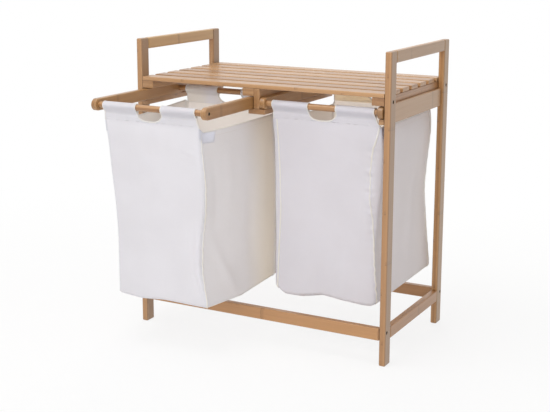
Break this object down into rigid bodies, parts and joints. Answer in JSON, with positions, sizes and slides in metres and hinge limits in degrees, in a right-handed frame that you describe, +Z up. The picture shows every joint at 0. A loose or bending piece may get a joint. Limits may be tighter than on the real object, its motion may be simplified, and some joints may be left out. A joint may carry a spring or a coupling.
{
  "type": "laundry hamper",
  "caption": "Bamboo laundry hamper: an open frame with a slatted shelf and side handles, and cotton bags hung on carriers that pull out from under the shelf.",
  "frame": {"origin": "on the floor, in the middle of the whole object's length and depth in the rest pose, in which the left bin stands open", "axes": "+X to the right seen from the front, +Y to the back, +Z up; the bins pull out along -Y"},
  "size_m": [0.68, 0.582, 0.73],
  "materials": {
    "bamboo": "clear satin lacquer on laminated bamboo",
    "bag_cotton": "plain-woven cotton, off-white",
    "black_screw": "blackened steel"
  },
  "bodies": {
    "frame": {"front_left_post": "bamboo", "front_left_shelf_screw": "black_screw", "front_left_rail_screw": "black_screw", "front_right_post": "bamboo", "front_right_shelf_screw": "black_screw", "front_right_rail_screw": "black_screw", "back_left_post": "bamboo", "back_left_shelf_screw": "black_screw", "back_left_rail_screw": "black_screw", "back_right_post": "bamboo", "back_right_shelf_screw": "black_screw", "back_right_rail_screw": "black_screw", "left_handle": "bamboo", "left_upper_side_rail": "bamboo", "left_lower_side_rail": "bamboo", "left_batten": "bamboo", "left_ledge": "bamboo", "right_handle": "bamboo", "right_upper_side_rail": "bamboo", "right_lower_side_rail": "bamboo", "right_batten": "bamboo", "right_ledge": "bamboo", "front_long_rail": "bamboo", "back_long_rail": "bamboo", "slat_1": "bamboo", "slat_2": "bamboo", "slat_3": "bamboo", "slat_4": "bamboo", "slat_5": "bamboo", "slat_6": "bamboo", "slat_7": "bamboo", "centre_batten": "bamboo", "guide_web": "bamboo", "guide_flange": "bamboo"},
    "left_carrier": {"left_carrier_left_bar": "bamboo", "left_carrier_right_bar": "bamboo", "left_carrier_front_dowel": "bamboo", "left_carrier_back_dowel": "bamboo", "left_carrier_front_left_screw": "black_screw", "left_carrier_front_right_screw": "black_screw", "left_carrier_back_left_screw": "black_screw", "left_carrier_back_right_screw": "black_screw", "left_bag": "bag_cotton"},
    "right_carrier": {"right_carrier_left_bar": "bamboo", "right_carrier_right_bar": "bamboo", "right_carrier_front_dowel": "bamboo", "right_carrier_back_dowel": "bamboo", "right_carrier_front_left_screw": "black_screw", "right_carrier_front_right_screw": "black_screw", "right_carrier_back_left_screw": "black_screw", "right_carrier_back_right_screw": "black_screw", "right_bag": "bag_cotton"}
  },
  "joints": [
    {"name": "left_bin_slide", "type": "slide", "parent": "frame", "child": "left_carrier", "axis": [0, -1, 0], "range_m": [-0.206, 0.034]},
    {"name": "right_bin_slide", "type": "slide", "parent": "frame", "child": "right_carrier", "axis": [0, -1, 0], "range_m": [0, 0.24]}
  ]
}
